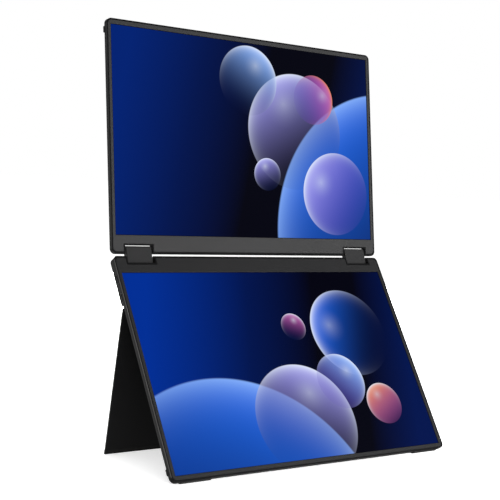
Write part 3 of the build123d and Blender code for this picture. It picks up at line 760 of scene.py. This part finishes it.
class Bench:
    """Models small pieces with Blender's operators, in millimetres at the origin, and fits them.

    Attributes:
        BEVEL_SEGMENTS: number of steps in a softened edge.
        FACING: how nearly a face's normal has to follow an axis to be counted as facing along it.
        SHARP_ANGLE: angle between faces from which their edge stays sharp, in degrees.
    """

    BEVEL_SEGMENTS = 2
    FACING = 0.9
    SHARP_ANGLE = 30.0

    @staticmethod
    def clear() -> None:
        """Deselects everything, so that an operator acts on the next piece alone."""
        bpy.ops.object.select_all(action="DESELECT")

    @staticmethod
    def name(label: str) -> bpy.types.Object:
        """Names the primitive that was just added, with its place applied to its mesh.

        Args:
            label: the piece's name.

        Returns:
            The piece.
        """
        bpy.ops.object.transform_apply(location=True, rotation=True, scale=True)
        piece = bpy.context.active_object
        piece.name = label
        return piece

    @classmethod
    def block(cls, label: str, size: Triple, middle: Triple, edge: float) -> bpy.types.Object:
        """Box with softened edges.

        Args:
            label: the piece's name.
            size: its three sides.
            middle: its middle.
            edge: width of the bevel.

        Returns:
            The piece.
        """
        cls.clear()
        bpy.ops.mesh.primitive_cube_add(size=1.0, location=middle, scale=size)
        piece = cls.name(label)
        with cls.editing(piece):
            bpy.ops.mesh.bevel(offset=edge, segments=cls.BEVEL_SEGMENTS, affect="EDGES")
        return piece

    @classmethod
    @contextmanager
    def editing(
        cls,
        piece: bpy.types.Object,
        test: Callable[[bpy.types.MeshPolygon], bool] = lambda face: True,
    ) -> Iterator[None]:
        """Edit mode with some of a piece's faces selected, and object mode again afterwards.

        Args:
            piece: the piece.
            test: True for a face that is to be selected; by default all are.

        Yields:
            Nothing.
        """
        cls.clear()
        piece.select_set(True)
        bpy.context.view_layer.objects.active = piece
        bpy.ops.object.mode_set(mode="EDIT")
        bpy.ops.mesh.select_mode(type="FACE")
        bpy.ops.mesh.select_all(action="DESELECT")
        bpy.ops.object.mode_set(mode="OBJECT")
        for face in piece.data.polygons:
            face.select = test(face)
        bpy.ops.object.mode_set(mode="EDIT")
        try:
            yield
        finally:
            bpy.ops.object.mode_set(mode="OBJECT")

    @staticmethod
    def apply(piece: bpy.types.Object, kind: str, settings: dict[str, object]) -> None:
        """Adds one modifier to a piece and applies it.

        Args:
            piece: the piece.
            kind: Blender's name of the modifier type.
            settings: the modifier's settings.
        """
        bpy.context.view_layer.objects.active = piece
        modifier = piece.modifiers.new(kind.lower(), kind)
        for name, value in settings.items():
            setattr(modifier, name, value)
        bpy.ops.object.modifier_apply(modifier=modifier.name)

    @classmethod
    def copy(cls, piece: bpy.types.Object, matrix: Matrix) -> bpy.types.Object:
        """Copies a piece, with its own mesh.

        Args:
            piece: the piece.
            matrix: place of the copy, which is applied to its mesh.

        Returns:
            The copy.
        """
        cls.clear()
        twin = bpy.data.objects.new(piece.name, piece.data.copy())
        bpy.context.scene.collection.objects.link(twin)
        twin.matrix_world = matrix
        twin.select_set(True)
        bpy.context.view_layer.objects.active = twin
        bpy.ops.object.transform_apply(location=True, rotation=True, scale=True)
        return twin

    @classmethod
    def join(cls, label: str, pieces: Sequence[bpy.types.Object]) -> bpy.types.Object:
        """Joins pieces into one, with smooth faces and sharp edges.

        Args:
            label: the joined piece's name.
            pieces: the pieces, one or more.

        Returns:
            The joined piece.
        """
        cls.clear()
        for piece in pieces:
            piece.select_set(True)
        bpy.context.view_layer.objects.active = pieces[0]
        if len(pieces) > 1:
            bpy.ops.object.join()
        bpy.ops.object.shade_smooth_by_angle(angle=radians(cls.SHARP_ANGLE))
        pieces[0].name = label
        return pieces[0]

    @classmethod
    def fit(
        cls,
        label: str,
        pattern: bpy.types.Object,
        places: Sequence[Matrix],
        material: bpy.types.Material,
        slot: str,
    ) -> bpy.types.Object:
        """Copies a pattern to its places on the lower panel and joins the copies.

        Args:
            label: the finished piece's name.
            pattern: the piece at the origin, which is deleted afterwards.
            places: where the copies go.
            material: their finish.
            slot: the record's material slot; not used.

        Returns:
            The finished piece.
        """
        piece = cls.join(label, [cls.copy(pattern, place) for place in places])
        bpy.data.objects.remove(pattern)
        piece.data.materials.clear()
        piece.data.materials.append(material)
        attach(piece, "lower_panel")
        LOG.info("modelled %s", label)
        return piece


@dataclass
class Screens:
    """The two lit displays. Lengths are in millimetres."""

    width: float = 301.55
    height: float = 188.47
    near: float = 14.55
    upper_field: tuple[tuple[float, Tint], ...] = (
        (0.0, Tint.ROYAL),
        (0.26, Tint.NAVY),
        (0.52, Tint.MIDNIGHT),
        (0.78, Tint.MIDNIGHT),
        (1.0, Tint.NAVY),
    )
    lower_field: tuple[tuple[float, Tint], ...] = (
        (0.0, Tint.COBALT),
        (0.36, Tint.NAVY),
        (0.62, Tint.MIDNIGHT),
        (0.80, Tint.MIDNIGHT),
        (1.0, Tint.NAVY),
    )
    upper_bubbles: tuple[Bubble, ...] = (
        Bubble(330.0, 4.0, 150.0, 132.0, Tint.MIDNIGHT, Tint.AZURE, Tint.SKY, 0.0, 0.0),
        Bubble(206.0, 106.0, 58.0, 118.0, Tint.MIDNIGHT, Tint.LAVENDER, Tint.ICE, 0.0, 0.3),
        Bubble(150.0, 152.0, 34.0, 60.0, Tint.NAVY, Tint.SKY, Tint.ICE, 0.0, 0.4),
        Bubble(256.0, 46.0, 42.0, 150.0, Tint.VIOLET, Tint.LAVENDER, Tint.ICE, 0.1, 0.45),
        Bubble(230.0, 140.0, 25.0, 24.0, Tint.VIOLET, Tint.ROSE, Tint.AMBER, 0.1, 0.3),
        Bubble(170.0, 62.0, 16.0, 110.0, Tint.NAVY, Tint.LAVENDER, Tint.ICE, 0.2, 0.5),
    )
    lower_bubbles: tuple[Bubble, ...] = (
        Bubble(60.0, -66.0, 150.0, 58.0, Tint.MIDNIGHT, Tint.AZURE, Tint.SKY, 0.0, 0.0),
        Bubble(152.0, 36.0, 56.0, 66.0, Tint.MIDNIGHT, Tint.LAVENDER, Tint.ICE, 0.0, 0.35),
        Bubble(236.0, 122.0, 46.0, 160.0, Tint.NAVY, Tint.AZURE, Tint.ICE, 0.0, 0.3),
        Bubble(206.0, 72.0, 28.0, 44.0, Tint.VIOLET, Tint.SKY, Tint.ICE, 0.1, 0.45),
        Bubble(250.0, 46.0, 21.0, 120.0, Tint.ROSE, Tint.AMBER, Tint.ICE, 0.1, 0.4),
        Bubble(170.0, 130.0, 14.0, 70.0, Tint.NAVY, Tint.ROSE, Tint.ICE, 0.2, 0.5),
    )

    def build(self) -> None:
        """Puts a picture on each display."""
        size = (self.width * MM, self.height * MM)
        left = -self.width / 2
        foot = UPPER.point(left, self.near, 0.0)
        design = (self.upper_field, self.upper_bubbles)
        upper = Picture("upper_picture", foot, UPPER.away, *size, *design)
        dress(upper.material(), "upper_display")
        foot = LOWER.point(left, self.near + self.height, 0.0)
        design = (self.lower_field, self.lower_bubbles)
        lower = Picture("lower_picture", foot, -LOWER.away, *size, *design)
        dress(lower.material(), "lower_display")


@dataclass
class Shells:
    """Covers, bezels, soft pads and keys."""

    # covers: near-black back as painted shade, lighter side walls as painted light
    upper_cover: CoverPlastic = CoverPlastic("upper_cover_painted_shade_and_light", leaf=UPPER, highlight_depth=0.0022)
    # lower cover's light line along the rim edges: a painted highlight
    lower_cover: CoverPlastic = CoverPlastic(
        "lower_cover_painted_shade_and_highlight", leaf=LOWER, line=(0.095, 0.093, 0.09)
    )
    # one plastic in two copies: the upper bezel lighter and glossier as painted light, the lower one
    # darker and duller as painted shade
    lit_upper_bezel: MouldedPlastic = MouldedPlastic(
        "upper_bezel_painted_light", (0.0148, 0.0148, 0.0153), specular=0.16
    )
    shaded_lower_bezel: MouldedPlastic = MouldedPlastic(
        "lower_bezel_painted_shade", (0.0104, 0.0104, 0.0108), specular=0.08
    )
    key: MouldedPlastic = MouldedPlastic("key_plastic", (0.02, 0.02, 0.021), roughness=0.38)
    pad: SoftRubber = SoftRubber("pad_rubber", (0.006, 0.006, 0.006))
    pad_nodes: tuple[str, ...] = (
        "front_feet",
        "stand_foot",
        "upper_edge_bumpers",
        "lower_edge_bumpers",
    )

    def build(self) -> None:
        """Finishes the shells and what sits on them."""
        dress(self.upper_cover.material(), "upper_rear_cover")
        dress(self.lower_cover.material(), "lower_rear_cover")
        dress(self.lit_upper_bezel.material(), "upper_front_bezel")
        dress(self.shaded_lower_bezel.material(), "lower_front_bezel")
        dress(self.key.material(), "power_button", "menu_button")
        dress(self.pad.material(), *self.pad_nodes)


@dataclass
class Hinges:
    """Hinge blocks and the metal inside them."""

    paint: MouldedPlastic = MouldedPlastic(
        "hinge_paint", (0.0099, 0.0099, 0.0102), roughness=0.42, specular=0.11, grain_height=0.00001
    )
    steel: WorkedMetal = WorkedMetal("turned_steel", (0.52, 0.52, 0.54), marks=Marks.ACROSS)
    oiled: WorkedMetal = WorkedMetal("oiled_steel", (0.035, 0.035, 0.037), roughness=0.48)
    bronze: WorkedMetal = WorkedMetal("sleeve_bronze", (0.52, 0.36, 0.16), roughness=0.42)
    steel_nodes: tuple[str, ...] = (
        "upper_idlers",
        "lower_idlers",
        "idler_pins",
        "upper_bracket_screws",
        "lower_bracket_screws",
    )
    oiled_nodes: tuple[str, ...] = (
        "upper_hinge_shafts",
        "lower_hinge_shafts",
        "upper_hinge_brackets",
        "lower_hinge_brackets",
    )

    def build(self) -> None:
        """Finishes the hinge pieces."""
        dress(self.paint.material(), "hinge_housings", "hinge_end_caps")
        dress(self.steel.material(), *self.steel_nodes)
        dress(self.oiled.material(), *self.oiled_nodes)
        dress(self.bronze.material(), "friction_sleeves")


@dataclass
class Stand:
    """Flap stand, its hinge plates and their countersunk screws. Lengths are in millimetres."""

    flap: MouldedPlastic = MouldedPlastic(
        "flap_plastic", (0.0045, 0.0045, 0.0048), roughness=0.55, specular=0.08
    )
    plate: WorkedMetal = WorkedMetal("blackened_steel", (0.05, 0.05, 0.052), roughness=0.45)
    pin: WorkedMetal = WorkedMetal("pin_steel", (0.45, 0.45, 0.47))
    screw: WorkedMetal = WorkedMetal("screw_steel", (0.16, 0.16, 0.165), roughness=0.3)
    screw_across: tuple[float, ...] = (-118.0, -92.0, 92.0, 118.0)
    screw_along: float = 53.95
    back: float = -1.8
    head_radius: float = 1.6
    head_height: float = 0.6
    shank_radius: float = 0.9
    shank_length: float = 1.5
    land: float = 0.14
    land_drop: float = 0.035
    sides: int = 48
    slot_length: float = 1.9
    slot_width: float = 0.42
    slot_depth: float = 0.42
    slot_edge: float = 0.07

    def _screw(self) -> bpy.types.Object:
        """Models a countersunk screw with a cross recess.

        Returns:
            The screw, with its head's face at the origin.
        """
        Bench.clear()
        bpy.ops.mesh.primitive_cone_add(
            vertices=self.sides,
            radius1=self.shank_radius,
            radius2=self.head_radius,
            depth=self.head_height,
            location=(0.0, 0.0, -self.head_height / 2),
        )
        screw = Bench.name("screw")
        with Bench.editing(screw, lambda face: face.normal.z < -Bench.FACING):
            shank = {"value": (0.0, 0.0, -self.shank_length)}
            bpy.ops.mesh.extrude_region_move(TRANSFORM_OT_translate=shank)
        with Bench.editing(screw, lambda face: face.normal.z > Bench.FACING):
            bpy.ops.mesh.inset(thickness=self.land)
            bpy.ops.mesh.inset(thickness=self.land, depth=-self.land_drop)
        for sides in ((self.slot_length, self.slot_width), (self.slot_width, self.slot_length)):
            size = (*sides, 2 * self.slot_depth)
            cutter = Bench.block("cutter", size, (0.0, 0.0, 0.0), self.slot_edge)
            cut = {"object": cutter, "operation": "DIFFERENCE", "solver": "EXACT"}
            Bench.apply(screw, "BOOLEAN", cut)
            bpy.data.objects.remove(cutter)
        return screw

    def build(self) -> None:
        """Finishes the stand's pieces and models its screws."""
        dress(self.flap.material(), "stand_flap")
        dress(self.plate.material(), "stand_hinge_brackets")
        dress(self.pin.material(), "stand_pins")
        places = [
            LOWER.stand(-LOWER.front, across, self.screw_along, self.back)
            for across in self.screw_across
        ]
        screws = Bench.fit("stand_screws", self._screw(), places, self.screw.material(), "steel")
        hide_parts("stand_bracket_screws")


@dataclass(frozen=True)
class Socket:
    """Tongue in a side socket of the lower panel. Lengths are in millimetres.

    Attributes:
        along: its place away from the hinge axis.
        out: its place in front of that axis.
        side: -1 on the left side, 1 on the right.
        width: width of the tongue.
        contacts: number of contacts on each of its faces.
    """

    along: float
    out: float
    side: float
    width: float
    contacts: int


@dataclass
class Electronics:
    """Boards, sockets and plates, with the tongues and thread that show. Lengths are in millimetres."""

    board: CoatedBoard = CoatedBoard("board_coating")
    nickel: WorkedMetal = WorkedMetal("socket_nickel", (0.34, 0.335, 0.33), roughness=0.4)
    plate: WorkedMetal = WorkedMetal("plate_aluminium", (0.6, 0.61, 0.63), marks=Marks.ACROSS)
    brass: WorkedMetal = WorkedMetal("bush_brass", (0.6, 0.43, 0.19), roughness=0.3)
    gold: WorkedMetal = WorkedMetal("contact_gold", (0.83, 0.6, 0.22), roughness=0.22)
    tongue: MouldedPlastic = MouldedPlastic("tongue_plastic", (0.008, 0.008, 0.009), roughness=0.4)
    sockets: tuple[Socket, ...] = (
        Socket(19.52, -0.52, -1.0, 6.0, 12),
        Socket(37.58, -0.52, -1.0, 6.0, 12),
        Socket(36.8, -0.50, 1.0, 8.2, 10),
    )
    mouth: float = 154.62
    tongue_depth: float = 6.8
    tongue_thickness: float = 0.9
    tongue_edge: float = 0.12
    contact_length: float = 3.4
    contact_width: float = 0.24
    contact_height: float = 0.08
    contact_edge: float = 0.02
    contact_inset: float = 0.5
    bush_along: float = 28.0
    bush_back: float = -4.2
    bush_length: float = 4.95
    bush_radius: float = 3.175
    pitch: float = 1.27
    ridge: float = 0.42
    ridge_overlap: float = 0.015
    ridge_sides: int = 3
    ridge_steps: int = 48
    spare_turns: int = 2
    weld: float = 0.001
    nickel_nodes: tuple[str, ...] = (
        "usb_c_sockets",
        "mini_hdmi_socket",
        "board_screws",
        "upper_board_screws",
    )

    def _tongue(self, socket: Socket) -> bpy.types.Object:
        """Plastic tongue, with its tip at the origin."""
        size = (socket.width, self.tongue_thickness, self.tongue_depth)
        return Bench.block("tongue", size, (0.0, 0.0, -self.tongue_depth / 2), self.tongue_edge)

    def _contacts(self, socket: Socket) -> bpy.types.Object:
        """Models the rows of contacts on both faces of a tongue.

        Args:
            socket: the tongue that carries them.

        Returns:
            The contacts, with the tongue's tip at the origin.
        """
        pitch = (socket.width - 2 * self.contact_inset) / (socket.contacts - 1)
        size = (self.contact_width, self.contact_height, self.contact_length)
        middle = (
            self.contact_inset - socket.width / 2,
            self.tongue_thickness / 2,
            -self.contact_inset - self.contact_length / 2,
        )
        row = Bench.block("contacts", size, middle, self.contact_edge)
        spacing = {"use_relative_offset": False, "use_constant_offset": True}
        offset = {"constant_offset_displace": (pitch, 0.0, 0.0), "count": socket.contacts}
        Bench.apply(row, "ARRAY", spacing | offset)
        Bench.apply(row, "MIRROR", {"use_axis": (False, True, False), "use_mirror_merge": False})
        with Bench.editing(row):
            bpy.ops.mesh.normals_make_consistent(inside=False)
        return row

    def _thread(self) -> bpy.types.Object:
        """Models the ridge of the tripod thread.

        Returns:
            The ridge, from the bush's mouth at the origin down to its end.
        """
        Bench.clear()
        reach = self.bush_radius + self.ridge_overlap - self.ridge / 2
        bpy.ops.mesh.primitive_circle_add(
            vertices=self.ridge_sides,
            radius=self.ridge,
            location=(reach, 0.0, -self.bush_length - self.pitch),
            rotation=(pi / 2, -pi / 2, 0.0),
        )
        thread = Bench.name("thread")
        turns = round(self.bush_length / self.pitch) + self.spare_turns
        steps = {"steps": self.ridge_steps, "render_steps": self.ridge_steps}
        helix = {"axis": "Z", "angle": 2 * pi, "screw_offset": self.pitch, "iterations": turns}
        Bench.apply(thread, "SCREW", helix | steps)
        for level, way in ((0.0, 1.0), (-self.bush_length, -1.0)):
            with Bench.editing(thread):
                bpy.ops.mesh.bisect(
                    plane_co=(0.0, 0.0, level),
                    plane_no=(0.0, 0.0, way),
                    use_fill=True,
                    clear_outer=True,
                )
        with Bench.editing(thread):
            bpy.ops.mesh.remove_doubles(threshold=self.weld)
            bpy.ops.mesh.normals_make_consistent(inside=False)
        return thread

    def build(self) -> None:
        """Finishes the inner pieces and models what shows in the openings."""
        dress(self.board.material(), "main_board", "side_board", "upper_driver_board")
        dress(self.nickel.material(), *self.nickel_nodes)
        dress(self.plate.material(), "upper_support_plate", "lower_support_plate")
        brass, gold, plastic = self.brass.material(), self.gold.material(), self.tongue.material()
        dress(brass, "tripod_bush")
        for number, socket in enumerate(self.sockets, start=1):
            outwards = ACROSS * socket.side
            place = LOWER.stand(outwards, socket.side * self.mouth, socket.along, socket.out)
            Bench.fit(f"socket_tongue_{number}", self._tongue(socket), [place], plastic, "key")
            Bench.fit(f"socket_contacts_{number}", self._contacts(socket), [place], gold, "bronze")
        mouth = LOWER.stand(-LOWER.front, 0.0, self.bush_along, self.bush_back)
        Bench.fit("tripod_thread", self._thread(), [mouth], brass, "bronze")


@dataclass(frozen=True)
class Softbox:
    """Soft lamp aimed at the object, in metres and watts.

    Attributes:
        direction: runs from the object's middle to the lamp.
        size: its width, and its height too unless it has one of its own.
    """

    name: str
    direction: Triple
    distance: float
    size: float
    power: float
    height: float | None = None

    def build(self) -> None:
        """Adds the lamp."""
        data = bpy.data.lights.new(self.name, "AREA")
        data.shape = "RECTANGLE"
        data.size = self.size
        data.size_y = self.height or self.size
        data.energy = self.power
        lamp = bpy.data.objects.new(self.name, data)
        towards = Vector(self.direction).normalized()
        lamp.location = (CAD_BOX[0] + CAD_BOX[1]) / 2 + towards * self.distance
        lamp.rotation_euler = towards.to_track_quat("Z", "Y").to_euler()
        bpy.context.scene.collection.objects.link(lamp)


@dataclass
class Studio:
    """Camera, lamps, backdrop and floor.

    The camera's place is in millimetres, its angles are in degrees, and its focal length and centre in
    pixels of a square picture. The lens's sensor is in millimetres, the rest in metres.

    Attributes:
        picture: the picture's side, in pixels.
        nearest: distance from which the camera sees.
        floor_lift: glow that keeps the floor white where no shadow falls.
        surround: strength of the white surround as a light.
    """

    picture: float = 500.0
    focal: float = 1138.873
    centre: tuple[float, float] = (262.0, 280.0)
    place: Triple = (-644.192, -842.869, 251.361)
    yaw: float = 36.5244
    pitch: float = -4.9726
    roll: float = 3.2395
    sensor: float = 36.0
    nearest: float = 0.01
    floor_size: float = 60.0
    floor_colour: Colour = (0.9, 0.9, 0.9)
    floor_lift: float = 0.55
    surround: float = 0.55
    softboxes: tuple[Softbox, ...] = (
        Softbox("front_softbox", (0.58, -0.78, 0.24), 1.7, 1.3, 17.0),
        Softbox("left_fill", (-0.85, -0.45, 0.5), 1.9, 1.2, 7.0),
        Softbox("top_softbox", (0.1, 0.2, 1.0), 1.8, 1.8, 16.0),
        Softbox("back_fill", (0.5, 0.85, 0.12), 1.8, 0.9, 58.0),
        Softbox("low_strip", (0.04, -1.0, -0.42), 0.34, 0.6, 1.7, 0.05),
    )

    def _camera(self) -> None:
        """Stands the camera where the photograph was taken from."""
        data = bpy.data.cameras.new("camera")
        data.sensor_width = self.sensor
        data.lens = self.focal * self.sensor / self.picture
        data.shift_x = (self.picture / 2 - self.centre[0]) / self.picture
        data.shift_y = (self.centre[1] - self.picture / 2) / self.picture
        data.clip_start = self.nearest
        yaw, pitch, roll = radians(self.yaw), radians(self.pitch), radians(self.roll)
        ahead = Vector((sin(yaw) * cos(pitch), cos(yaw) * cos(pitch), sin(pitch)))
        level = Vector((cos(yaw), -sin(yaw), 0.0))
        right = level * cos(roll) + level.cross(ahead) * sin(roll)
        turn = Matrix((right, right.cross(ahead), -ahead)).transposed().to_4x4()
        camera = bpy.data.objects.new("camera", data)
        camera.matrix_world = Matrix.Translation(Vector(self.place) * MM) @ turn
        bpy.context.scene.collection.objects.link(camera)
        bpy.context.scene.camera = camera

    def _world(self) -> None:
        """White surround for the camera and for reflections, dimmer as a light."""
        graph = Graph(bpy.data.worlds.new("surround"))
        level = self.surround + graph.seen_directly() * (1.0 - self.surround)
        white = {"Color": (1.0, 1.0, 1.0, 1.0), "Strength": level}
        background = graph.node("ShaderNodeBackground", None, white)[0]
        graph.node("ShaderNodeOutputWorld", None, {"Surface": background})
        bpy.context.scene.world = graph.owner

    def _floor(self) -> None:
        """Lays a pale floor that keeps the object's shadow."""
        Bench.clear()
        bpy.ops.mesh.primitive_plane_add(size=self.floor_size)
        floor = Bench.name("floor")
        graph = new_graph("floor_paper")
        paper = graph.node("ShaderNodeBsdfDiffuse", None, {"Color": (*self.floor_colour, 1.0)})[0]
        glow = graph.node("ShaderNodeEmission", None, {"Strength": self.floor_lift})[0]
        lifted = graph.node("ShaderNodeAddShader", None, {0: paper, 1: glow})[0]
        choice = {0: graph.seen_directly(), 1: paper, 2: lifted}
        both = graph.node("ShaderNodeMixShader", None, choice)[0]
        graph.node("ShaderNodeOutputMaterial", None, {"Surface": both})
        floor.data.materials.append(graph.owner)

    def build(self) -> None:
        """Sets up the whole studio."""
        self._camera()
        for softbox in self.softboxes:
            softbox.build()
        self._world()
        self._floor()
        bpy.context.scene.view_settings.view_transform = "Standard"


def main() -> None:
    """Builds and dresses every sub-assembly, then the studio."""
    logging.basicConfig(level=logging.INFO, format="%(message)s")
    for part in (Screens(), Shells(), Hinges(), Stand(), Electronics(), Studio()):
        part.build()
        LOG.info("finished %s", type(part).__name__)


if __name__ == "__main__":
    main()
